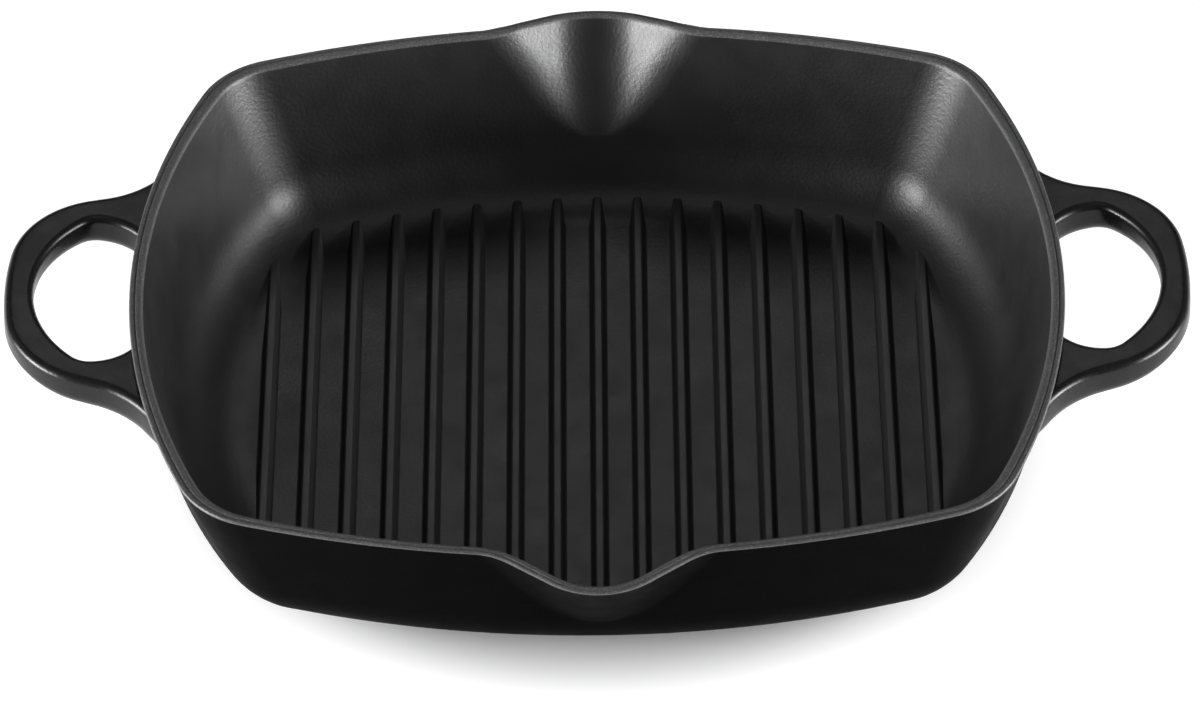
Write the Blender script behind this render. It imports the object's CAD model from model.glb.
# %% [markdown]
# A cast iron grill pan with a ribbed floor, two pour spouts and two loop handles.
# The pan is one casting under a coat of black enamel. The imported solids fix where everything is.
# This notebook gives each of them a smooth surface and a finish. The main sizes are the solids'
# own, and only small forms, such as the ribs' section and the roundings, are worked out finer.

import bpy
import numpy as np
from mathutils import Matrix, Vector


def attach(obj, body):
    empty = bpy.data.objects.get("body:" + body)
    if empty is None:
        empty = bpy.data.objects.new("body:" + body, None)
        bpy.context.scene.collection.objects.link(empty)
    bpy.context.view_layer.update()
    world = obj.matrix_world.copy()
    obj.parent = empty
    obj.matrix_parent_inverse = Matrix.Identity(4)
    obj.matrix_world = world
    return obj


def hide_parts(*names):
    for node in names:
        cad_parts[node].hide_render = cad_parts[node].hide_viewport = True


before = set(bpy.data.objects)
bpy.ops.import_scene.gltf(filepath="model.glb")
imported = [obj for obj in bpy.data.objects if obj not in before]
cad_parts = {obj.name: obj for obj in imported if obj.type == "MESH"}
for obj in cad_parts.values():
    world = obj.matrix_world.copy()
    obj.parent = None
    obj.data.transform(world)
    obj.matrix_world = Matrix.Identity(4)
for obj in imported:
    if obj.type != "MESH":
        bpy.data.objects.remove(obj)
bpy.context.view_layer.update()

print("nodes:", sorted(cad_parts))

# %% [markdown]
# Every size below is a real one, in millimetres, and the meshes are scaled to metres as they are
# made. The outline of the pan is a rectangle whose four sides bow outwards and whose corners are
# rounded. It is wider at the rim than at the table, because a casting has to leave its mould.

# %% Sizes of the pan
MM = 0.001

RIM_HALF_LENGTH, RIM_HALF_WIDTH = 163.4, 137.8
RIM_SIDE_BOW, RIM_FRONT_BOW = 28.2, 22.0
RIM_CORNER_RADIUS = 33.5
RIM_SIDE_WIDTH, RIM_FRONT_WIDTH = 4.7, 3.6
PAN_HEIGHT = 67.5

SIDE_WALL_LEAN, FRONT_WALL_LEAN = 12.9, 16.9
BASE_HALF_LENGTH, BASE_HALF_WIDTH = RIM_HALF_LENGTH - SIDE_WALL_LEAN, RIM_HALF_WIDTH - FRONT_WALL_LEAN
BASE_SIDE_BOW, BASE_FRONT_BOW = 37.3, 17.7
BASE_CORNER_RADIUS = 30.7
BASE_EDGE_RADIUS = 34.0

FLOOR_THICKNESS = 5.0
FOOT_WALL_THICKNESS = 4.6
FOOT_FILLET_RADIUS = 28.0
PLATE_CORNER_RADIUS = 14.0

FRONT_SLOPE = (RIM_HALF_WIDTH - BASE_HALF_WIDTH) / PAN_HEIGHT
FOOT_INSET = FOOT_WALL_THICKNESS - FRONT_SLOPE * FLOOR_THICKNESS
INNER_HALF_WIDTH = RIM_HALF_WIDTH - RIM_FRONT_WIDTH
INNER_FOOT_HALF_WIDTH = BASE_HALF_WIDTH - FOOT_INSET
print("rim:", 2 * RIM_HALF_LENGTH, "by", 2 * RIM_HALF_WIDTH, "mm, height:", PAN_HEIGHT, "mm")


# %% [markdown]
# One outline is eight arcs that run into each other: two sides, two ends and four corners. A box
# with a Bevel would round the corners but leave the sides straight, so the arcs are worked out.
# On arcs that meet smoothly the direction of the outward normal turns steadily, so the whole
# outline can be written as centre plus radius times the normal. A station runs from 0 to 12,
# three for each quarter: half a side, a corner, half an end. Equal stations on two outlines
# belong together, and a straight line between them is a line of the wall.

# %% Outlines
def bowed_outline(half_length, half_width, side_bow, front_bow, corner_radius):
    """Centres, radii and end angles of the three arcs in the first quarter of an outline."""
    side_radius = ((half_width - front_bow) ** 2 + side_bow**2) / (2 * side_bow)
    front_radius = ((half_length - side_bow) ** 2 + front_bow**2) / (2 * front_bow)
    side_centre = np.array([half_length - side_radius, 0.0])
    front_centre = np.array([0.0, half_width - front_radius])
    # The corner's centre is as far from each arc's centre as the difference of their radii
    to_side, to_front = side_radius - corner_radius, front_radius - corner_radius
    across = front_centre - side_centre
    gap = np.linalg.norm(across)
    along = (to_side**2 - to_front**2 + gap**2) / (2 * gap)
    aside = np.sqrt(to_side**2 - along**2)
    turned = np.array([-across[1], across[0]]) / gap
    corner_centre = side_centre + across / gap * along + turned * aside
    angles = [
        np.arctan2(*(corner_centre - centre)[::-1]) for centre in (side_centre, front_centre)
    ]
    return {
        "centres": np.array([side_centre, corner_centre, front_centre]),
        "radii": np.array([side_radius, corner_radius, front_radius]),
        "angles": np.array([0.0, angles[0], angles[1], np.pi / 2]),
    }


def outline_at(outline, station):
    """Points and outward normals: the arc's centre plus its radius times the normal, mirrored."""
    quarter = np.floor(station / 3).astype(int) % 4
    place = station - 3 * np.floor(station / 3)
    place = np.where(quarter % 2 == 1, 3 - place, place)
    arc = np.minimum(place.astype(int), 2)
    start, end = outline["angles"][arc], outline["angles"][arc + 1]
    angle = start + (place - arc) * (end - start)
    normal = np.stack([np.cos(angle), np.sin(angle)], axis=-1)
    point = outline["centres"][arc] + outline["radii"][arc][..., None] * normal
    sign_x = np.where((quarter == 0) | (quarter == 3), 1, -1)
    sign_y = np.where(quarter < 2, 1, -1)
    sign = np.stack([sign_x, sign_y], axis=-1)
    return point * sign, normal * sign


# %% The five outlines of the casting
rim_outline = bowed_outline(
    RIM_HALF_LENGTH, RIM_HALF_WIDTH, RIM_SIDE_BOW, RIM_FRONT_BOW, RIM_CORNER_RADIUS
)
base_outline = bowed_outline(
    BASE_HALF_LENGTH, BASE_HALF_WIDTH, BASE_SIDE_BOW, BASE_FRONT_BOW, BASE_CORNER_RADIUS
)
inner_rim_outline = bowed_outline(
    RIM_HALF_LENGTH - RIM_SIDE_WIDTH,
    INNER_HALF_WIDTH,
    RIM_SIDE_BOW,
    RIM_FRONT_BOW,
    RIM_CORNER_RADIUS - RIM_SIDE_WIDTH,
)
inner_foot_outline = bowed_outline(
    BASE_HALF_LENGTH - FOOT_INSET,
    INNER_FOOT_HALF_WIDTH,
    BASE_SIDE_BOW,
    BASE_FRONT_BOW,
    BASE_CORNER_RADIUS,
)
plate_outline = bowed_outline(
    BASE_HALF_LENGTH - BASE_EDGE_RADIUS,
    BASE_HALF_WIDTH - BASE_EDGE_RADIUS,
    BASE_SIDE_BOW,
    BASE_FRONT_BOW,
    PLATE_CORNER_RADIUS,
)
print("arcs of the rim, side, corner and end:", rim_outline["radii"].round(1), "mm")

# %% Stations round the pan, closer together on the spouts, where the wall turns most
SIDE_STEPS, CORNER_STEPS, END_STEPS, SPOUT_STEPS = 26, 28, 22, 46
SPOUT_HALF_WIDTH, SEARCH_STEPS = 46.0, 400
end_x = outline_at(rim_outline, np.linspace(3, 2, SEARCH_STEPS))[0][:, 0]
spout_station = 3 - np.interp(SPOUT_HALF_WIDTH, end_x, np.linspace(0, 1, SEARCH_STEPS))
quarter_stations = np.concatenate([
    np.linspace(0, 1, SIDE_STEPS, endpoint=False),
    np.linspace(1, 2, CORNER_STEPS, endpoint=False),
    np.linspace(2, spout_station, END_STEPS, endpoint=False),
    np.linspace(spout_station, 3, SPOUT_STEPS, endpoint=False),
])
mirrored_stations = (6 - quarter_stations[1:])[::-1]
half_stations = np.concatenate([quarter_stations, [3.0], mirrored_stations])
stations = np.concatenate([half_stations, half_stations + 6])
print("stations round the pan:", len(stations))


# %% [markdown]
# The wall is straight from the rim down to a large fillet that runs into the flat underside.
# In the upright plane square to the outline that fillet is an arc of a circle which touches
# both the wall's line and the floor. A Bevel would squeeze its rows at the corners, so the arc
# is worked out instead. Inside the pan the same rule gives the foot of the well.

# %% The wall's surface at a height, and its foot
def wall_at(foot, rim, foot_height, height):
    """Point of the wall: foot plus (rim minus foot) times the share of the height."""
    foot_point, _ = outline_at(foot, stations)
    rim_point, _ = outline_at(rim, stations)
    share = (height - foot_height) / (PAN_HEIGHT - foot_height)
    place = foot_point + (rim_point - foot_point) * share[..., None]
    return np.concatenate([place, height[..., None]], axis=-1)


def foot_slopes(foot, rim, foot_height):
    """How far the wall leans out, and along the outline, for each millimetre of height."""
    foot_point, normal = outline_at(foot, stations)
    rim_point, _ = outline_at(rim, stations)
    lean = (rim_point - foot_point) / (PAN_HEIGHT - foot_height)
    along = np.stack([-normal[:, 1], normal[:, 0]], axis=-1)
    return foot_point, normal, along, (lean * normal).sum(-1), (lean * along).sum(-1)


def foot_fillet(foot, rim, foot_height, radius, rows):
    """Arc from the floor to the wall: centre plus radius times (cosine, sine) of the angle."""
    foot_point, normal, along, out_slope, along_slope = foot_slopes(foot, rim, foot_height)
    draft = np.arctan(out_slope)
    reach = radius * np.tan((np.pi / 2 - draft) / 2)
    turn = -np.pi / 2 + np.linspace(0, 1, rows)[:, None] * (np.pi / 2 - draft)
    out = -reach + radius * np.cos(turn)
    rise = radius * (1 + np.sin(turn))
    place = foot_point + normal * out[..., None] + along * (along_slope * rise)[..., None]
    return np.concatenate([place, (foot_height + rise)[..., None]], axis=-1)


# %% [markdown]
# A pour spout is a rounded V at rim level. Seen from above it is a round nose, two straight
# flanks and two soft bends back into the wall. On the way down the V sinks into the wall: its
# bends keep their radii, its flanks shorten, and where they are gone the bends flatten. It could
# be cut with a Boolean, but that leaves ragged shading in a smooth wall. So one formula with a
# reach that shrinks in step with the height moves the wall's own points outwards.

# %% Pour spouts
SPOUT_REACH = 16.7
SPOUT_FLANK_ANGLE = np.radians(33.9)
SPOUT_NOSE_RADIUS, SPOUT_BLEND_RADIUS = 30.1, 26.4
SPOUT_WALL_THICKNESS = 3.8
SPOUT_FOOT_HEIGHT = 25.5
SPOUT_BEND_SHARE = 0.9
LIP_DIP_SLOPE = np.tan(np.radians(17.8))
LIP_HINGE_INSET, CREST_PASSES = 0.4, 6
LEAST_REACH = 1e-4
print("the V is gone", PAN_HEIGHT - SPOUT_FOOT_HEIGHT, "mm below the rim")


def rim_bow_at(x):
    """How far the end of the rim falls back at x: a parabola through its middle and corner."""
    return RIM_FRONT_BOW * (x / (RIM_HALF_LENGTH - RIM_SIDE_BOW)) ** 2


def spout_relief(x, reach, nose, blend):
    """How far the V stands out of its wall at x: nose arc, straight flank, then blend arc."""
    reach = np.maximum(reach, LEAST_REACH)
    flank = np.minimum(SPOUT_FLANK_ANGLE, np.arccos(1 - SPOUT_BEND_SHARE * reach / (nose + blend)))
    slope, stretch = np.tan(flank), 1 / np.cos(flank)
    apex = reach + nose * (stretch - 1)
    corner_x = (apex + rim_bow_at(apex / slope)) / slope
    corner_y, end_y = -rim_bow_at(corner_x), -rim_bow_at(SPOUT_HALF_WIDTH)
    wall_slope = (end_y - corner_y) / (SPOUT_HALF_WIDTH - corner_x)
    wall_stretch = np.hypot(1, wall_slope)
    blend_x = apex + blend * stretch - corner_y + wall_slope * corner_x - blend * wall_stretch
    blend_x = blend_x / (slope + wall_slope)
    blend_y = apex - blend_x * slope + blend * stretch
    x = np.abs(x)
    nose_arc = apex - nose * stretch + np.sqrt(np.maximum(nose**2 - x**2, 0))
    blend_arc = blend_y - np.sqrt(np.maximum(blend**2 - (x - blend_x) ** 2, 0))
    on_nose = x < nose * np.sin(flank)
    on_flank = x < blend_x - blend * np.sin(flank)
    on_blend = x < blend_x + blend * wall_slope / wall_stretch
    relief = np.where(on_nose, nose_arc, np.where(on_flank, apex - slope * x, blend_arc))
    return np.where(on_blend, np.maximum(relief + rim_bow_at(x), 0), 0)


def with_spouts(place, reach, nose, blend):
    """Moves points of the front and rear wall outwards by the spout's relief at their height."""
    x, y, z = place[..., 0], place[..., 1], place[..., 2]
    share = (z - SPOUT_FOOT_HEIGHT) / (PAN_HEIGHT - SPOUT_FOOT_HEIGHT)
    relief = spout_relief(x, reach * share, nose, blend)
    relief = np.where((np.abs(x) < SPOUT_HALF_WIDTH) & (share > 0), relief, 0)
    return np.stack([x, y + np.sign(y) * relief, z], axis=-1)


# %% The wall with its spouts, outside and inside
def outer_wall(height):
    """The outside of the wall at one height for each station."""
    place = wall_at(base_outline, rim_outline, 0.0, height)
    return with_spouts(place, SPOUT_REACH, SPOUT_NOSE_RADIUS, SPOUT_BLEND_RADIUS)


def inner_wall(height):
    """The inside of the wall at one height for each station, with the spout's own wall."""
    place = wall_at(inner_foot_outline, inner_rim_outline, FLOOR_THICKNESS, height)
    return with_spouts(
        place,
        SPOUT_REACH + RIM_FRONT_WIDTH - SPOUT_WALL_THICKNESS,
        SPOUT_NOSE_RADIUS - SPOUT_WALL_THICKNESS,
        SPOUT_BLEND_RADIUS + SPOUT_WALL_THICKNESS,
    )


def crest_height(wall):
    """Height of the crest at each station: it dips in line with how far the lip stands out."""
    hinge = RIM_HALF_WIDTH - LIP_HINGE_INSET
    height = np.full(len(stations), PAN_HEIGHT)
    for _ in range(CREST_PASSES):
        past_hinge = np.maximum(np.abs(wall(height)[:, 1]) - hinge, 0)
        height = PAN_HEIGHT - past_hinge * LIP_DIP_SLOPE
    return height


# %% [markdown]
# The rim is where the enamel is thinnest and the eye goes first. Its outer edge is rounded,
# its crest has a shallow groove along the middle, and its inner edge rolls over into the well.
# The outside and the inside of the pan are two sheets of points with the same number of rows
# and stations, which meet on the middle of the crest. Any patch of the two can then be
# closed into a solid piece of wall.

# %% The two sheets of the casting
OUTER_EDGE, INNER_EDGE = 1.0, 1.6
GROOVE_SHARE, GROOVE_DEPTH, GROOVE_HALF_WIDTH = 0.44, 0.32, 0.42
RIM_FOOT_HEIGHT = 62.5
LIP_ROOT_DEPTH = 3.2
FILLET_MARGIN = 1.0
RING_ROWS, FOOT_ROWS, WALL_ROWS, RIM_ROWS, EDGE_ROWS, CREST_ROWS = 3, 16, 26, 4, 6, 9


def blend_rows(start, end, rows):
    """Rows of points on straight lines from start to end, without the end."""
    share = np.linspace(0, 1, rows, endpoint=False)[:, None, None]
    return start + (end - start) * share


def unit(vector):
    """Each vector divided by its length."""
    return vector / np.linalg.norm(vector, axis=-1, keepdims=True)


def edge_arc(start, corner, end, rows):
    """Rounded edge: a rational quadratic curve, which is a true arc where both legs are equal."""
    half_turn = np.arccos(np.clip((unit(start - corner) * unit(end - corner)).sum(-1), -1, 1)) / 2
    weight = np.sin(half_turn)[None, :, None]
    share = np.linspace(0, 1, rows, endpoint=False)[:, None, None]
    parts = (1 - share) ** 2, 2 * share * (1 - share) * weight, share**2
    return (parts[0] * start + parts[1] * corner + parts[2] * end) / sum(parts)


def sheet(wall, foot, rim, foot_height, foot_radius, edge):
    """Rows from the floor plate's edge up to the rounded edge, that edge's foot, and its corner."""
    fillet = foot_fillet(foot, rim, foot_height, foot_radius, FOOT_ROWS)
    plate_point, _ = outline_at(plate_outline, stations)
    plate = np.concatenate([plate_point, np.full((len(stations), 1), foot_height)], axis=-1)
    crest = crest_height(wall)
    wall_foot = fillet[-1, :, 2] + FILLET_MARGIN
    rim_foot = np.minimum(RIM_FOOT_HEIGHT, crest - LIP_ROOT_DEPTH)
    edge_foot = crest - edge
    rows = [blend_rows(plate, fillet[0], RING_ROWS), fillet]
    for low, high, count in ((wall_foot, rim_foot, WALL_ROWS), (rim_foot, edge_foot, RIM_ROWS)):
        for share in np.linspace(0, 1, count, endpoint=False):
            rows.append(wall(low + (high - low) * share)[None])
    print("the wall's foot ends between", wall_foot.min().round(1), "and", wall_foot.max().round(1))
    return rows, wall(edge_foot), np.concatenate([wall(crest)[:, :2], crest[:, None]], axis=-1)


# %% Outside, inside and the crest between them
outer_rows, outer_edge_foot, outer_corner = sheet(
    outer_wall, base_outline, rim_outline, 0.0, BASE_EDGE_RADIUS, OUTER_EDGE
)
inner_rows, inner_edge_foot, inner_corner = sheet(
    inner_wall, inner_foot_outline, inner_rim_outline, FLOOR_THICKNESS, FOOT_FILLET_RADIUS, INNER_EDGE
)
across = unit(inner_corner - outer_corner)
crest_width = np.linalg.norm(inner_corner - outer_corner, axis=-1)
along_crest = np.roll(outer_corner, -1, axis=0) - np.roll(outer_corner, 1, axis=0)
crest_normal = unit(np.cross(across, along_crest))
crest_normal = crest_normal * np.sign(crest_normal[:, 2:])


def crest_line(distance):
    """Points across the crest: straight, less a groove with a bell-shaped section."""
    groove = (distance - GROOVE_SHARE * crest_width) / GROOVE_HALF_WIDTH
    depth = GROOVE_DEPTH * np.exp(-(groove**2))
    return outer_corner + across * distance[:, None] - crest_normal * depth[:, None]


outer_edge_top = crest_line(np.full(len(stations), OUTER_EDGE))
inner_edge_top = crest_line(crest_width - INNER_EDGE)
outer_rows.append(edge_arc(outer_edge_foot, outer_corner, outer_edge_top, EDGE_ROWS))
inner_rows.append(edge_arc(inner_edge_foot, inner_corner, inner_edge_top, EDGE_ROWS))
middle, inner_start = crest_width / 2, crest_width - INNER_EDGE
for share in np.linspace(0, 1, CREST_ROWS):
    outer_rows.append(crest_line(OUTER_EDGE + (middle - OUTER_EDGE) * share)[None])
    inner_rows.append(crest_line(inner_start + (middle - inner_start) * share)[None])
outer_sheet, inner_sheet = np.concatenate(outer_rows), np.concatenate(inner_rows)
print("sheets:", outer_sheet.shape, inner_sheet.shape)

# %% One grid and its normals, from the middle of the floor's outside round to its inside
casting_grid = np.concatenate([outer_sheet, inner_sheet[::-1][1:]])
ROWS, STATIONS = outer_sheet.shape[:2]
along_rows = np.gradient(casting_grid, axis=0)
along_stations = np.roll(casting_grid, -1, axis=1) - np.roll(casting_grid, 1, axis=1)
casting_normals = unit(np.cross(along_stations, along_rows))


# %% [markdown]
# Blender wants vertices, faces and, for a smooth look, a normal for every corner of a face.
# One helper puts the arrays into a mesh, and every piece of the pan goes through it. It moves
# nothing: the place of a piece is in its vertices, so its object stays at the origin, unturned.

# %% Arrays into a mesh
def piece_from_arrays(name, points, faces, corner_normals=None):
    """An object whose mesh has the given points in millimetres and its faces outward."""
    mesh = bpy.data.meshes.new(name)
    mesh.from_pydata((points * MM).tolist(), [], [list(face) for face in faces])
    mesh.shade_smooth()
    if corner_normals is not None:
        mesh.normals_split_custom_set(corner_normals.tolist())
    mesh.update()
    piece = bpy.data.objects.new(name, mesh)
    bpy.context.scene.collection.objects.link(piece)
    print(name, len(points), "points", len(faces), "faces")
    return piece


# %% [markdown]
# A piece of the casting is a patch of the outer sheet, the same patch of the inner sheet, and
# the joint faces between them along its edge. A Solidify modifier would give every wall one
# thickness, and this pan's grows towards its foot. Where two pieces meet they share their
# points, and they take their shading from the whole casting, so no seam shows in the enamel.

# %% Faces of a patch
LAST_ROW = 2 * ROWS - 2


def corner_number(row, station):
    """Number of a point of the grid: its row times the stations in a row, plus its station."""
    return row * STATIONS + station % STATIONS


def skin_quads(cells):
    """The four corners of each cell on the outer sheet, and then of the same on the inner."""
    row, station = np.nonzero(cells)
    quads = []
    for first, second in ((row, row + 1), (LAST_ROW - row - 1, LAST_ROW - row)):
        quads.append(np.stack([
            corner_number(first, station), corner_number(first, station + 1),
            corner_number(second, station + 1), corner_number(second, station),
        ], axis=1))
    return np.concatenate(quads)


def joint_quads(cells):
    """Where a cell has no neighbour, the face between that edge of it outside and inside."""
    below = np.vstack([np.zeros(STATIONS, bool), cells[:-1]])
    above = np.vstack([cells[1:], np.ones(STATIONS, bool)])
    before, after = np.roll(cells, 1, axis=1), np.roll(cells, -1, axis=1)
    joints = []
    for open_side, start, end in (
        (cells & ~below, (0, 1), (0, 0)),
        (cells & ~above, (1, 0), (1, 1)),
        (cells & ~before, (0, 0), (1, 0)),
        (cells & ~after, (1, 1), (0, 1)),
    ):
        row, station = np.nonzero(open_side)
        a_row, a_station = row + start[0], station + start[1]
        b_row, b_station = row + end[0], station + end[1]
        joints.append(np.stack([
            corner_number(a_row, a_station), corner_number(b_row, b_station),
            corner_number(LAST_ROW - b_row, b_station), corner_number(LAST_ROW - a_row, a_station),
        ], axis=1))
    return np.concatenate(joints)


# %% A closed piece of the casting
def casting_piece(name, cells):
    """Skins with the casting's normals, and joints with the cross product of their edges."""
    skin, joints = skin_quads(cells), joint_quads(cells)
    used, renumbered = np.unique(np.concatenate([skin, joints]), return_inverse=True)
    renumbered = renumbered.reshape(-1, 4)
    points = casting_grid.reshape(-1, 3)[used]
    faces = renumbered[: len(skin)].tolist()
    normals = [casting_normals.reshape(-1, 3)[skin].reshape(-1, 3)]
    for face in renumbered[len(skin):].tolist():
        corners = list(dict.fromkeys(face))
        first, second, third = points[corners[:3]]
        normal = unit(np.cross(second - first, third - first))
        faces.append(corners)
        normals.append(np.repeat([normal], len(corners), axis=0))
    return piece_from_arrays(name, points, faces, np.concatenate(normals))


# %% [markdown]
# Now the casting is divided in the same zones as the solids: four walls, the rim on either
# side of the spouts, and the two spouts with the wall below them.

# %% Walls, rims and spouts
WALL_SPLIT_X = BASE_HALF_LENGTH - BASE_SIDE_BOW
FILLET_TOP_ROW = RING_ROWS + FOOT_ROWS - 1
RIM_ROW = FILLET_TOP_ROW + 1 + WALL_ROWS
middle_x = (outer_sheet[-1, :, 0] + np.roll(outer_sheet[-1, :, 0], -1)) / 2
middle_y = (outer_sheet[-1, :, 1] + np.roll(outer_sheet[-1, :, 1], -1)) / 2
in_spout = np.abs(middle_x) < SPOUT_HALF_WIDTH
in_rim_rows = (np.arange(ROWS - 1) >= RIM_ROW)[:, None]
in_spout_rows = (np.arange(ROWS - 1) >= FILLET_TOP_ROW)[:, None]
spout_cells = in_spout_rows & in_spout
rim_cells = in_rim_rows & ~in_spout
wall_cells = ~spout_cells & ~rim_cells
end_wall_cells = wall_cells & (np.abs(middle_x) <= WALL_SPLIT_X)

# %% The eight pieces of the wall
zones = {
    "right_wall": wall_cells & (middle_x > WALL_SPLIT_X),
    "left_wall": wall_cells & (middle_x < -WALL_SPLIT_X),
    "rear_wall": end_wall_cells & (middle_y > 0),
    "front_wall": end_wall_cells & (middle_y < 0),
    "right_rim": rim_cells & (middle_x > 0),
    "left_rim": rim_cells & (middle_x < 0),
    "rear_pour_spout": spout_cells & (middle_y > 0),
    "front_pour_spout": spout_cells & (middle_y < 0),
}
pieces = {name: casting_piece(f"{name}_skin", cells) for name, cells in zones.items()}


# %% [markdown]
# The floor plate closes the casting. It could be one face with hundreds of corners, but a fan of
# triangles about the middle shades more evenly. Its edge is the first row of the two sheets, so
# it fits them point for point.

# %% Floor plate
PLATE_SHARP_ANGLE = np.radians(30)


def floor_plate(name):
    """Two flat fans about the middle, at the table and at the floor, joined by an edge band."""
    under, over = outer_sheet[0], inner_sheet[0]
    middles = np.array([[0, 0, 0.0], [0, 0, FLOOR_THICKNESS]])
    points = np.concatenate([under, over, middles])
    under_middle, over_middle = np.full(STATIONS, 2 * STATIONS), np.full(STATIONS, 2 * STATIONS + 1)
    this = np.arange(STATIONS)
    following = (this + 1) % STATIONS
    band = np.stack([this, following, STATIONS + following, STATIONS + this], axis=1)
    under_fan = np.stack([following, this, under_middle], axis=1)
    over_fan = np.stack([STATIONS + this, STATIONS + following, over_middle], axis=1)
    piece = piece_from_arrays(name, points, band.tolist() + under_fan.tolist() + over_fan.tolist())
    piece.data.set_sharp_from_angle(angle=PLATE_SHARP_ANGLE)
    return piece


pieces["pan_floor"] = floor_plate("pan_floor_plate")


# %% [markdown]
# The ribs are cast with the floor. Each is a bar with a flat crest, slanted flanks and a small
# fillet where it leaves the floor, and it ends where its own section meets the inside of the
# wall, so it runs out in the rounded foot. An Array modifier would make them all one length,
# but the ends follow the bowed foot, so each point of each section gets an end of its own.

# %% Section of a rib
RIB_COUNT, RIB_ROW_INSET = 17, 32.7
RIB_HEIGHT, RIB_BASE_WIDTH, RIB_CREST_WIDTH = 3.4, 5.4, 3.0
RIB_CREST_RADIUS, RIB_ROOT_RADIUS = 0.9, 1.0
RIB_KEEL, RIB_END_OVERLAP = 0.4, 0.6
RIB_PITCH = 2 * (BASE_HALF_LENGTH - RIB_ROW_INSET) / (RIB_COUNT - 1)
ARC_POINTS = 9
print("ribs every", RIB_PITCH, "mm")


def rib_profile():
    """Half a section, mirrored: crest arc about the crest corner, root arc about the foot."""
    flank = np.arctan2(RIB_HEIGHT, (RIB_BASE_WIDTH - RIB_CREST_WIDTH) / 2)
    crest_cut = RIB_CREST_RADIUS * np.tan(flank / 2)
    root_cut = RIB_ROOT_RADIUS * np.tan(flank / 2)
    turn = np.linspace(0, flank, ARC_POINTS)
    crest_x = RIB_CREST_WIDTH / 2 - crest_cut + RIB_CREST_RADIUS * np.sin(turn)
    crest_z = RIB_HEIGHT - RIB_CREST_RADIUS * (1 - np.cos(turn))
    root_x = RIB_BASE_WIDTH / 2 + root_cut - RIB_ROOT_RADIUS * np.sin(turn[::-1])
    root_z = RIB_ROOT_RADIUS * (1 - np.cos(turn[::-1]))
    half = np.stack([np.append(crest_x, root_x), np.append(crest_z, root_z)], axis=1)
    half = np.vstack([half, half[-1] - [0, RIB_KEEL]])
    return np.vstack([half * [-1, 1], half[::-1]])[::-1]


# %% Where a rib ends
def well_foot_at(rise):
    """Outline of the well's foot at a height above the floor, on the fillet's arc."""
    foot_point, normal, along, out_slope, along_slope = foot_slopes(
        inner_foot_outline, inner_rim_outline, FLOOR_THICKNESS
    )
    draft = np.arctan(out_slope)
    reach = FOOT_FILLET_RADIUS * np.tan((np.pi / 2 - draft) / 2)
    turn = np.arcsin(np.clip(rise / FOOT_FILLET_RADIUS - 1, -1, 0))
    out = FOOT_FILLET_RADIUS * np.cos(turn) - reach
    return foot_point + normal * out[:, None] + along * (along_slope * rise)[:, None]


def rib_end_y(x, rise):
    """How far back the well's foot lies at x, read off its outline at that height."""
    outline = well_foot_at(rise)[: STATIONS // 2 + 1]
    outline = outline[np.argsort(outline[:, 0])]
    return np.interp(x, outline[:, 0], outline[:, 1]) + RIB_END_OVERLAP


# %% A closed tube, for ribs and handles
BAR_SHARP_ANGLE = np.radians(40)


def tube_faces(rings, count):
    """Quads from each ring to the next, and a fan from each end ring to its middle point."""
    ring, this = np.meshgrid(np.arange(rings - 1) * count, np.arange(count), indexing="ij")
    following = (this + 1) % count
    sides = np.stack([
        ring + this, ring + count + this, ring + count + following, ring + following
    ], axis=-1)
    this, following = this[0], following[0]
    last, first_middle = (rings - 1) * count, rings * count
    first_fan = np.stack([this, following, np.full(count, first_middle)], axis=1)
    last_fan = np.stack([last + following, last + this, np.full(count, first_middle + 1)], axis=1)
    return sides.reshape(-1, 4), first_fan, last_fan


# %% Grill ribs
def grill_ribs(name):
    """Bars along Y whose every profile point ends where the well's outline has its height."""
    profile = rib_profile()
    count = len(profile)
    centres = (np.arange(RIB_COUNT) - (RIB_COUNT - 1) / 2) * RIB_PITCH
    x = centres[:, None] + profile[:, 0]
    rises = np.maximum(profile[:, 1], 0)
    end_y = np.stack([rib_end_y(x[:, place], rise) for place, rise in enumerate(rises)], axis=1)
    z = np.broadcast_to(FLOOR_THICKNESS + profile[:, 1], x.shape)
    rings = np.stack([np.stack([x, end_y, z], axis=-1), np.stack([x, -end_y, z], axis=-1)], axis=1)
    points = np.concatenate([rings.reshape(RIB_COUNT, -1, 3), rings.mean(axis=2)], axis=1)
    faces = []
    for rib in range(RIB_COUNT):
        for part in tube_faces(2, count):
            faces += (part + rib * points.shape[1]).tolist()
    piece = piece_from_arrays(name, points.reshape(-1, 3), faces)
    piece.data.set_sharp_from_angle(angle=BAR_SHARP_ANGLE)
    return piece


pieces["grill_ribs"] = grill_ribs("grill_rib_bars")


# %% [markdown]
# A loop handle is a bar that leaves the wall with a flare, runs out, turns and comes back. Seen
# from above its outer edge and its finger gap are both tongues made of arcs and lines. A curve
# with a round bevel would give a bar of one width, so matching places on the two edges give the
# width instead. The bar lies in a plane that rises a little away from the pan.

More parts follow.
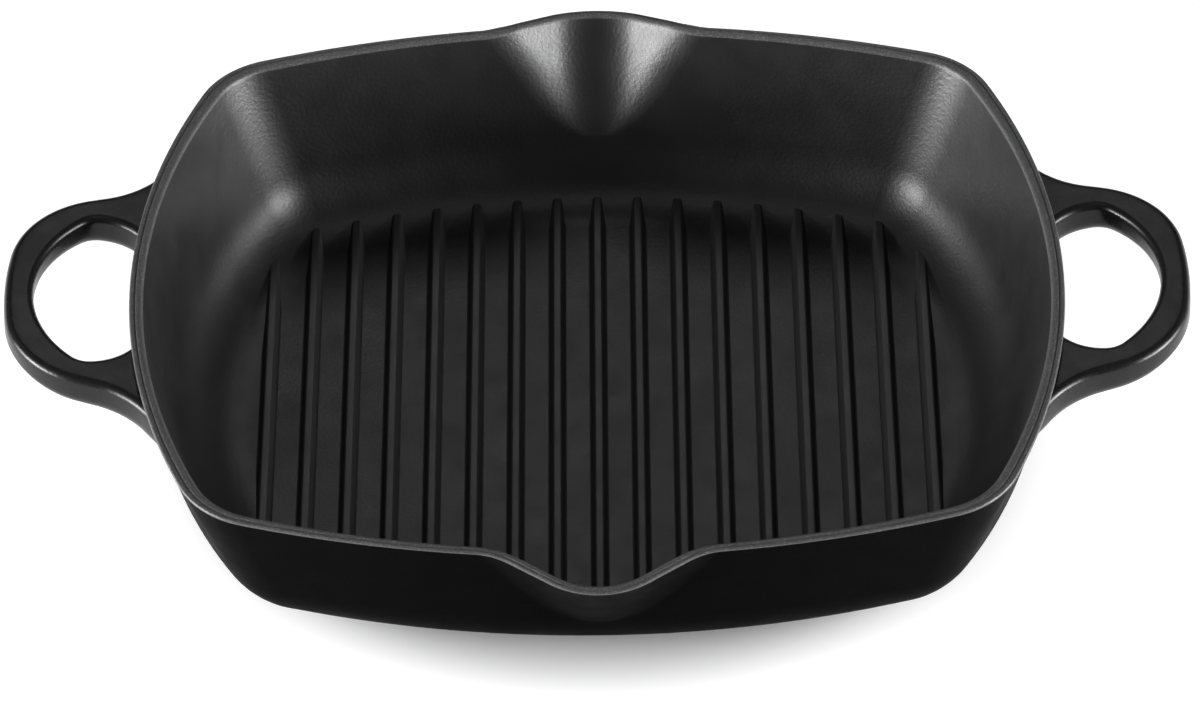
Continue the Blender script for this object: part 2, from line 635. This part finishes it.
# %% Handle sizes, seen from above
HANDLE_REACH, HANDLE_HALF_SPREAD, HANDLE_FLANK_ANGLE = 44.0, 51.9, 15.6
HANDLE_TIP_RADIUS, HANDLE_SHOULDER_RADIUS, HANDLE_ROOT_RADIUS = 130.0, 36.4, 34.7
HANDLE_ROOT_DEPTH, HANDLE_ROOT_ANGLE = 30.0, np.radians(52.5)
HANDLE_ROOT_RUN = HANDLE_ROOT_DEPTH * np.tan(HANDLE_ROOT_ANGLE)
GAP_REACH, GAP_START, GAP_HALF_SPREAD, GAP_FLANK_ANGLE = 33.9, 4.5, 35.8, -1.5
GAP_TIP_RADIUS, GAP_SHOULDER_RADIUS, GAP_ROOT_RADIUS = 45.0, 8.5, 19.5
GAP_ROOT_DEPTH, GAP_ROOT_ANGLE = 8.0, np.radians(50.0)
GAP_ROOT_RUN = (GAP_START + GAP_ROOT_DEPTH) * np.tan(GAP_ROOT_ANGLE)
print("finger gap:", 2 * GAP_HALF_SPREAD, "by", GAP_REACH, "mm")


# %% A tongue of arcs and lines
def tongue(reach, tip_radius, shoulder_radius, root_corner, flank_angle, root_end, root_radius):
    """Arc, arc, line, arc, line from the tip to the root, sampled at places from 0 to 5."""
    root_corner, root_end = np.array(root_corner), np.array(root_end)
    angle = np.radians(flank_angle)
    outwards = np.array([np.cos(angle), -np.sin(angle)])
    sideways = np.array([np.sin(angle), np.cos(angle)])
    tip_centre = np.array([reach - tip_radius, 0.0])
    # The shoulder's centre lies its radius inside the flank, and so far along it that the
    # shoulder touches the tip's arc from within
    start = sideways * (sideways @ root_corner - shoulder_radius) - tip_centre
    ahead = start @ outwards
    run = np.sqrt(ahead**2 - start @ start + (tip_radius - shoulder_radius) ** 2) - ahead
    shoulder_centre = tip_centre + start + outwards * run
    tip_turn = np.arctan2(*(shoulder_centre - tip_centre)[::-1])
    flank_turn = np.arctan2(sideways[1], sideways[0])
    # The root's arc rounds the corner between the flank and the line into the wall
    rootwards = (root_end - root_corner) / np.linalg.norm(root_end - root_corner)
    bend = np.arctan2(outwards[1] * rootwards[0] - outwards[0] * rootwards[1], -outwards @ rootwards)
    cut = root_radius * np.tan(abs(bend) / 2)
    side = -np.sign(bend)
    root_centre = root_corner + outwards * cut + side * sideways * root_radius
    flank_start = shoulder_centre + shoulder_radius * sideways
    flank_end = root_corner + outwards * cut
    root_start = root_corner + rootwards * cut
    last_normal = np.array([np.cos(flank_turn + bend), np.sin(flank_turn + bend)])

    def at(place):
        """Points and outward normals at places along the tongue."""
        part = np.minimum(place.astype(int), 4)
        share = (place - part)[:, None]
        turn = np.where(
            part == 0, share[:, 0] * tip_turn, tip_turn + share[:, 0] * (flank_turn - tip_turn)
        )
        turn = np.where(part == 3, flank_turn + bend * share[:, 0], turn)
        radial = np.stack([np.cos(turn), np.sin(turn)], axis=1)
        flank_normal = np.broadcast_to(sideways, radial.shape)
        root_normal = np.broadcast_to(last_normal, radial.shape)
        points = [
            tip_centre + tip_radius * radial,
            shoulder_centre + shoulder_radius * radial,
            flank_start + (flank_end - flank_start) * share,
            root_centre - side * root_radius * radial,
            root_start + (root_end - root_start) * share,
        ]
        normals = [radial, radial, flank_normal, radial, root_normal]
        picked = [part[:, None] == number for number in range(5)]
        return np.select(picked, points), np.select(picked, normals)

    return at


outer_tongue = tongue(
    HANDLE_REACH, HANDLE_TIP_RADIUS, HANDLE_SHOULDER_RADIUS,
    (0.0, HANDLE_HALF_SPREAD), HANDLE_FLANK_ANGLE,
    (-HANDLE_ROOT_DEPTH, HANDLE_HALF_SPREAD + HANDLE_ROOT_RUN), HANDLE_ROOT_RADIUS,
)
gap_tongue = tongue(
    GAP_REACH, GAP_TIP_RADIUS, GAP_SHOULDER_RADIUS,
    (GAP_START, GAP_HALF_SPREAD), GAP_FLANK_ANGLE,
    (-GAP_ROOT_DEPTH, GAP_HALF_SPREAD - GAP_ROOT_RUN), GAP_ROOT_RADIUS,
)


# %% [markdown]
# The bar's section is flat above and below with rounded edges. Its underside swells towards the
# roots, where the casting needs the iron, and thins out towards the tip, where fingers lift it.
# The end rows follow the wall just below its surface, so the roots run out of the wall without
# showing on the inside of the pan.

# %% Where a handle meets the wall
HANDLE_THICKNESS, HANDLE_DROP, HANDLE_SINK = 11.6, 2.3, 1.4
HANDLE_RISE = np.radians(4.0)
HANDLE_MIDDLE = PAN_HEIGHT - HANDLE_DROP - HANDLE_THICKNESS / 2
TIP_STEPS, SHOULDER_STEPS, FLANK_STEPS, ROOT_STEPS = 20, 22, 12, 22
ROOT_SEARCH_STEPS = 3000


def side_wall_x(y, z):
    """Outside of the side wall: the rim's and the base's side arcs, mixed by height."""
    arcs = [
        outline["centres"][0, 0] + np.sqrt(outline["radii"][0] ** 2 - y**2)
        for outline in (base_outline, rim_outline)
    ]
    return arcs[0] + (arcs[1] - arcs[0]) * z / PAN_HEIGHT


def root_place(at):
    """Place along a tongue where it has sunk into the wall."""
    place = np.linspace(2, 5, ROOT_SEARCH_STEPS)
    point, _ = at(place)
    z = HANDLE_MIDDLE + point[:, 0] * np.sin(HANDLE_RISE)
    x = RIM_HALF_LENGTH + point[:, 0] * np.cos(HANDLE_RISE)
    sunk = x < side_wall_x(point[:, 1], z) - HANDLE_SINK
    return place[np.argmax(sunk)]


def whole_edge(at):
    """Points and normals of a tongue, from the mirrored root round the tip to the other root."""
    end = root_place(at)
    print("a root ends at place", end.round(2))
    stops = [0, 1, 2, min(3, end), end]
    counts = (TIP_STEPS, SHOULDER_STEPS, FLANK_STEPS, ROOT_STEPS)
    parts = [np.linspace(a, b, n, endpoint=False) for a, b, n in zip(stops, stops[1:], counts)]
    point, normal = at(np.append(np.concatenate(parts), end))
    return [np.vstack([half[:0:-1] * [1, -1], half]) for half in (point, normal)]


# %% Section of a handle
CREST_EDGE_RADIUS, UNDERSIDE_EDGE_RADIUS = 2.8, 4.5
ROOT_DEEPENING, TIP_THINNING = 1.25, 0.35
FLAT_POINTS = 5


def handle_section():
    """Share across, inset and height of each point: four quarter arcs and two flats."""
    turn = np.linspace(0, np.pi / 2, ARC_POINTS)
    top, bottom = HANDLE_THICKNESS / 2, -HANDLE_THICKNESS / 2
    crest_inset = CREST_EDGE_RADIUS * (1 - np.sin(turn))
    crest_rise = top - CREST_EDGE_RADIUS * (1 - np.cos(turn))
    under_inset = UNDERSIDE_EDGE_RADIUS * (1 - np.cos(turn))
    under_rise = bottom + UNDERSIDE_EDGE_RADIUS * (1 - np.sin(turn))
    outer, gap = np.ones(ARC_POINTS), np.zeros(ARC_POINTS)
    flat, plain = np.linspace(0, 1, FLAT_POINTS + 2)[1:-1], np.ones(FLAT_POINTS)
    return np.vstack([
        np.stack([outer, crest_inset, crest_rise], axis=1),
        np.stack([outer, under_inset, under_rise], axis=1),
        np.stack([1 - flat, plain * UNDERSIDE_EDGE_RADIUS, plain * bottom], axis=1),
        np.stack([gap, under_inset[::-1], under_rise[::-1]], axis=1),
        np.stack([gap, crest_inset[::-1], crest_rise[::-1]], axis=1),
        np.stack([flat, plain * CREST_EDGE_RADIUS, plain * top], axis=1),
    ])


def handle_grid():
    """Gap edge plus the share of the way to the outer edge, and the height square to the bar."""
    share, inset, height = handle_section().T
    outer, outer_normal = whole_edge(outer_tongue)
    gap, gap_normal = whole_edge(gap_tongue)
    on_outer = outer[:, None] - outer_normal[:, None] * inset[:, None]
    on_gap = gap[:, None] + gap_normal[:, None] * inset[:, None]
    u, v = np.moveaxis(on_gap + (on_outer - on_gap) * share[:, None], -1, 0)
    out_share = np.clip(u / HANDLE_REACH, 0, 1)
    deeper = ROOT_DEEPENING + (TIP_THINNING - ROOT_DEEPENING) * out_share**3
    height = np.where(height < 0, height * deeper, height)
    x = RIM_HALF_LENGTH + u * np.cos(HANDLE_RISE) - height * np.sin(HANDLE_RISE)
    z = HANDLE_MIDDLE + u * np.sin(HANDLE_RISE) + height * np.cos(HANDLE_RISE)
    return np.stack([np.maximum(x, side_wall_x(v, z) - HANDLE_SINK), v, z], axis=-1)


# %% Loop handles
def handle_bar(name, side):
    """The grid's rings made a closed tube, and for the left handle mirrored and turned round."""
    grid = handle_grid()
    caps = grid[[0, -1]].mean(axis=1)
    caps[:, 0] = side_wall_x(caps[:, 1], caps[:, 2]) - HANDLE_SINK
    points = np.vstack([grid.reshape(-1, 3), caps]) * [side, 1, 1]
    faces = []
    for part in tube_faces(*grid.shape[:2]):
        faces += part[:, ::-side].tolist()
    piece = piece_from_arrays(name, points, faces)
    piece.data.set_sharp_from_angle(angle=BAR_SHARP_ANGLE)
    return piece


pieces["right_handle"] = handle_bar("right_handle_bar", 1)
pieces["left_handle"] = handle_bar("left_handle_bar", -1)

# %% [markdown]
# Nothing on the pan moves, so every piece rides on its one body. Each stands for its solid and
# names the finish it takes. The last word of a piece's name says what kind of piece it is.

# %% Pieces onto the frame
for node, piece in pieces.items():
    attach(piece, "root")
    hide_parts(node)
print(len(pieces), "pieces on the frame")

# %% [markdown]
# The enamel is a glassy coat over a sand-cast surface, so it is black, half gloss, and pebbled
# at a millimetre or two. A picture of enamel would show its seams and repeat, so noise on each
# piece's own coordinates gives the pebbles, and slower noise makes the gloss uneven.

# %% Helpers for finishes
NOISE_RANGE, FLECK_RANGE = (0.3, 0.7), (0.5, 0.75)
PEBBLE_DETAIL, PEBBLE_ROUGHNESS = 3, 0.55
PATCH_SIZE, PATCH_DETAIL, PATCH_ROUGHNESS = 12.0, 2, 0.5


def noise(tree, size, detail, roughness):
    """Noise on Object coordinates, from 0 to 1, whose lumps are about the given millimetres."""
    node = tree.nodes.new("ShaderNodeTexNoise")
    node.inputs["Scale"].default_value = 1 / (size * MM)
    node.inputs["Detail"].default_value = detail
    node.inputs["Roughness"].default_value = roughness
    where = tree.nodes.new("ShaderNodeTexCoord").outputs["Object"]
    tree.links.new(where, node.inputs["Vector"])
    return node.outputs["Fac"]


def mapped(tree, value, source, target=(0, 1), curve="LINEAR"):
    """The value's place between the two ends of source, carried over to between target's."""
    node = tree.nodes.new("ShaderNodeMapRange")
    node.interpolation_type = curve
    node.inputs["From Min"].default_value, node.inputs["From Max"].default_value = source
    node.inputs["To Min"].default_value, node.inputs["To Max"].default_value = target
    tree.links.new(value, node.inputs["Value"])
    return node.outputs["Result"]


def enamel(name, colour, fleck, roughness, pebble, depth, specular):
    """Black enamel: a base colour with paler flecks, uneven gloss and a pebbled surface."""
    material = bpy.data.materials.new(name)
    material.use_nodes = True
    tree = material.node_tree
    shader = tree.nodes["Principled BSDF"]
    shader.inputs["Specular IOR Level"].default_value = specular
    pebbles = noise(tree, pebble, PEBBLE_DETAIL, PEBBLE_ROUGHNESS)
    patches = noise(tree, PATCH_SIZE, PATCH_DETAIL, PATCH_ROUGHNESS)
    tint = tree.nodes.new("ShaderNodeMix")
    tint.data_type = "RGBA"
    tint.inputs["A"].default_value = (*colour, 1)
    tint.inputs["B"].default_value = (*fleck, 1)
    tree.links.new(mapped(tree, pebbles, FLECK_RANGE), tint.inputs["Factor"])
    tree.links.new(tint.outputs["Result"], shader.inputs["Base Color"])
    tree.links.new(mapped(tree, patches, NOISE_RANGE, roughness), shader.inputs["Roughness"])
    bump = tree.nodes.new("ShaderNodeBump")
    bump.inputs["Strength"].default_value = 1.0
    bump.inputs["Distance"].default_value = depth * MM
    tree.links.new(pebbles, bump.inputs["Height"])
    tree.links.new(bump.outputs["Normal"], shader.inputs["Normal"])
    print(name, "from", colour, "to", fleck)
    return material


# %% Five finishes, their pebbles in millimetres
inside = enamel(
    "interior_enamel", colour=(0.011, 0.011, 0.0112), fleck=(0.015, 0.015, 0.0153),
    roughness=(0.38, 0.44), pebble=1.3, depth=0.10, specular=0.8,
)
outside = enamel(
    "exterior_enamel", colour=(0.0025, 0.0025, 0.0026), fleck=(0.004, 0.004, 0.0042),
    roughness=(0.40, 0.50), pebble=1.3, depth=0.08, specular=0.005,
)
rims = enamel(
    "rim_enamel", colour=(0.06, 0.06, 0.062), fleck=(0.16, 0.16, 0.163),
    roughness=(0.36, 0.48), pebble=0.6, depth=0.12, specular=0.6,
)
rib = enamel(
    "rib_enamel", colour=(0.022, 0.022, 0.0225), fleck=(0.028, 0.028, 0.0286),
    roughness=(0.38, 0.44), pebble=0.8, depth=0.05, specular=0.8,
)
grip = enamel(
    "handle_enamel", colour=(0.008, 0.008, 0.0082), fleck=(0.012, 0.012, 0.0123),
    roughness=(0.24, 0.32), pebble=1.5, depth=0.05, specular=0.3,
)

# %% [markdown]
# The well is glossier than the outside, and along the rim the enamel runs thin and looks grey. A
# piece of wall shows all three, so each of its faces gets the finish of its side and row.

# %% Finishes onto the pieces
EDGE_ROW = RIM_ROW + RIM_ROWS
OUTSIDE_INDEX, INSIDE_INDEX, RIM_INDEX = 0, 1, 2
whole_finishes = {"pan_floor": inside, "grill_ribs": rib, "left_handle": grip, "right_handle": grip}
for node, finish in whole_finishes.items():
    pieces[node].data.materials.append(finish)
for node, cells in zones.items():
    mesh = pieces[node].data
    for finish in (outside, inside, rims):
        mesh.materials.append(finish)
    row, _ = np.nonzero(cells)
    outer_index = np.where(row >= EDGE_ROW, RIM_INDEX, OUTSIDE_INDEX)
    inner_index = np.where(row >= EDGE_ROW, RIM_INDEX, INSIDE_INDEX)
    index = np.full(len(mesh.polygons), OUTSIDE_INDEX, dtype=np.int32)
    index[: 2 * len(row)] = np.append(outer_index, inner_index)
    mesh.polygons.foreach_set("material_index", index)
    print(node, "has", np.count_nonzero(index == RIM_INDEX), "faces of rim")

# %% [markdown]
# The pan stands on white paper. Lamps that made the paper pure white would be far too bright for
# the pan, so the paper glows a little by itself, and only the camera and the enamel's mirror
# images see that glow. It is left out in an oval under the pan, where the soft shadow lies, and
# far away it grows to pure white, so a low view shows no grey horizon.

# %% The sheet of paper
PAPER_REACH = 6.0
corner_signs = ((-1, -1, 0), (1, -1, 0), (1, 1, 0), (-1, 1, 0))
floor_mesh = bpy.data.meshes.new("studio_floor")
floor_mesh.from_pydata((PAPER_REACH * np.array(corner_signs)).tolist(), [], [(0, 1, 2, 3)])
studio_floor = bpy.data.objects.new("studio_floor", floor_mesh)
bpy.context.scene.collection.objects.link(studio_floor)
print("paper:", 2 * PAPER_REACH, "m square")

# %% Its shadow and its glow, with reaches counted in the oval's own half sizes
PAPER_WHITE, PAPER_GLOW = 0.7, 0.65
SHADOW_HALF_LENGTH, SHADOW_HALF_WIDTH = 0.12, 0.11
SHADOW_REACHES, FAR_REACHES = (1.02, 1.36), (4.0, 12.0)


def joined(tree, operation, first, second):
    """One value from two: the larger one, or their product."""
    node = tree.nodes.new("ShaderNodeMath")
    node.operation = operation
    tree.links.new(first, node.inputs[0])
    tree.links.new(second, node.inputs[1])
    return node.outputs[0]


def oval_reach(tree):
    """Distance from the pan's middle with X and Y counted in half sizes of the shadow's oval."""
    scaled = tree.nodes.new("ShaderNodeVectorMath")
    scaled.operation = "MULTIPLY"
    scaled.inputs[1].default_value = (1 / SHADOW_HALF_LENGTH, 1 / SHADOW_HALF_WIDTH, 0)
    reach = tree.nodes.new("ShaderNodeVectorMath")
    reach.operation = "LENGTH"
    tree.links.new(tree.nodes.new("ShaderNodeTexCoord").outputs["Object"], scaled.inputs[0])
    tree.links.new(scaled.outputs["Vector"], reach.inputs[0])
    return reach.outputs["Value"]


def white_paper(name):
    """Matt paper, and the same with a glow for seeing rays outside the oval."""
    material = bpy.data.materials.new(name)
    material.use_nodes = True
    tree = material.node_tree
    shader = tree.nodes["Principled BSDF"]
    shader.inputs["Base Color"].default_value = (PAPER_WHITE, PAPER_WHITE, PAPER_WHITE, 1)
    shader.inputs["Roughness"].default_value = 1.0
    shader.inputs["Specular IOR Level"].default_value = 0.0
    reach = oval_reach(tree)
    glow = tree.nodes.new("ShaderNodeEmission")
    tree.links.new(mapped(tree, reach, FAR_REACHES, (PAPER_GLOW, 1)), glow.inputs["Strength"])
    rays = tree.nodes.new("ShaderNodeLightPath").outputs
    seen = joined(tree, "MAXIMUM", rays["Is Camera Ray"], rays["Is Glossy Ray"])
    seen = joined(tree, "MAXIMUM", seen, rays["Is Transmission Ray"])
    clear = mapped(tree, reach, SHADOW_REACHES, curve="SMOOTHSTEP")
    glowing = tree.nodes.new("ShaderNodeAddShader")
    mixed = tree.nodes.new("ShaderNodeMixShader")
    tree.links.new(shader.outputs["BSDF"], glowing.inputs[0])
    tree.links.new(glow.outputs["Emission"], glowing.inputs[1])
    tree.links.new(joined(tree, "MULTIPLY", seen, clear), mixed.inputs["Fac"])
    tree.links.new(shader.outputs["BSDF"], mixed.inputs[1])
    tree.links.new(glowing.outputs["Shader"], mixed.inputs[2])
    tree.links.new(mixed.outputs["Shader"], tree.nodes["Material Output"].inputs["Surface"])
    return material


floor_mesh.materials.append(white_paper("white_paper"))

# %% The room's own faint light
ROOM_LIGHT = 0.03
world = bpy.data.worlds.new("studio")
bpy.context.scene.world = world
world.use_nodes = True
background = world.node_tree.nodes["Background"]
background.inputs["Color"].default_value = (1, 1, 1, 1)
background.inputs["Strength"].default_value = ROOM_LIGHT
print("room light:", ROOM_LIGHT)

# %% [markdown]
# On black enamel a lamp shows mostly where the surface mirrors it. A sky of even light would wash
# the forms out, so low soft boxes at both sides put the bright streaks into the rear corners and
# the spout and the pale glow on the side walls, and weak ones higher up, behind and above lift
# what those leave black. The left window is stronger than the right, as in the photograph.

# %% Lamps
LAMP_DISTANCE, LAMP_SIZE = 1.3, (0.6, 0.35)
# Degrees round from the front, degrees up, and watts on the left and on the right
LAMP_PAIRS = {
    "window": (70, 11, 19.5, 15),
    "wall": (85, 12, 12, 12),
    "fill": (70, 28, 1.5, 1.5),
}
BACK_ROUND, BACK_UP, BACK_WATTS = 180, 47, 0.75
ABOVE, TOP_WATTS = (0.0, 0.0, 1.0), 0.4


def soft_box(name, direction, watts):
    """A rectangular lamp in a direction from the pan, turned to face it and hidden from view."""
    lamp = bpy.data.lights.new(name, "AREA")
    lamp.shape = "RECTANGLE"
    lamp.size, lamp.size_y = LAMP_SIZE
    lamp.energy = watts
    lamp_object = bpy.data.objects.new(name, lamp)
    place = Vector(direction).normalized() * LAMP_DISTANCE
    lamp_object.location = place
    lamp_object.rotation_euler = place.to_track_quat("Z", "Y").to_euler()
    lamp_object.visible_camera = False
    bpy.context.scene.collection.objects.link(lamp_object)
    print(name, watts, "W from", [round(part, 2) for part in place])


def from_the_front(azimuth, elevation):
    """Direction towards a place so many degrees round from the front, to the right, and up."""
    around, up = np.radians([azimuth, elevation])
    return np.sin(around) * np.cos(up), -np.cos(around) * np.cos(up), np.sin(up)


for number, (hand, way) in enumerate((("left", -1), ("right", 1))):
    for kind, (azimuth, elevation, *watts) in LAMP_PAIRS.items():
        soft_box(f"{hand}_{kind}", from_the_front(azimuth * way, elevation), watts[number])
soft_box("back_box", from_the_front(BACK_ROUND, BACK_UP), BACK_WATTS)
soft_box("top_box", ABOVE, TOP_WATTS)

# %% [markdown]
# The camera stands where the photograph was taken from. Its height, distance and focal length
# were fitted to the rim, the ribs and the underside's outline, and are kept in the fit's own
# terms, millimetres and pixels, so they can be compared with it.

# %% Camera
ELEVATION, YAW, ROLL = np.radians(43.0), -0.0064, -0.01746
FOCAL_PIXELS, PHOTO_WIDTH, SENSOR_WIDTH = 6424.4, 1200, 36.0
AIM_X, AIM_Y, DISTANCE = 0.649, 28.362, 2310.99


def turned_back(vector):
    """A direction or place of the camera's fit, turned back by the pan's small yaw."""
    x, y, z = vector
    return np.array([x * np.cos(YAW) + y * np.sin(YAW), -x * np.sin(YAW) + y * np.cos(YAW), z])


level_right = np.array([1.0, 0, 0])
level_up = np.array([0, np.sin(ELEVATION), np.cos(ELEVATION)])
forward = np.array([0, np.cos(ELEVATION), -np.sin(ELEVATION)])
right = turned_back(level_right * np.cos(ROLL) + level_up * np.sin(ROLL))
up = turned_back(level_up * np.cos(ROLL) - level_right * np.sin(ROLL))
eye = turned_back([AIM_X, AIM_Y - DISTANCE * np.cos(ELEVATION), DISTANCE * np.sin(ELEVATION)]) * MM
camera = bpy.data.cameras.new("photo_camera")
camera.sensor_width = SENSOR_WIDTH
camera.lens = SENSOR_WIDTH * FOCAL_PIXELS / PHOTO_WIDTH
camera_object = bpy.data.objects.new("photo_camera", camera)
turn = Matrix([right, up, -turned_back(forward)]).transposed().to_4x4()
camera_object.matrix_world = Matrix.Translation(Vector(eye)) @ turn
bpy.context.scene.collection.objects.link(camera_object)
bpy.context.scene.camera = camera_object
print("camera at", eye.round(3), "m, lens", round(camera.lens, 1), "mm")

# %% [markdown]
# The picture is shown as it is worked out, without a film look. The last lines measure the new
# surfaces against the solids, because the pan may look finer than its solids but not larger.

bpy.context.scene.view_settings.view_transform = "Standard"
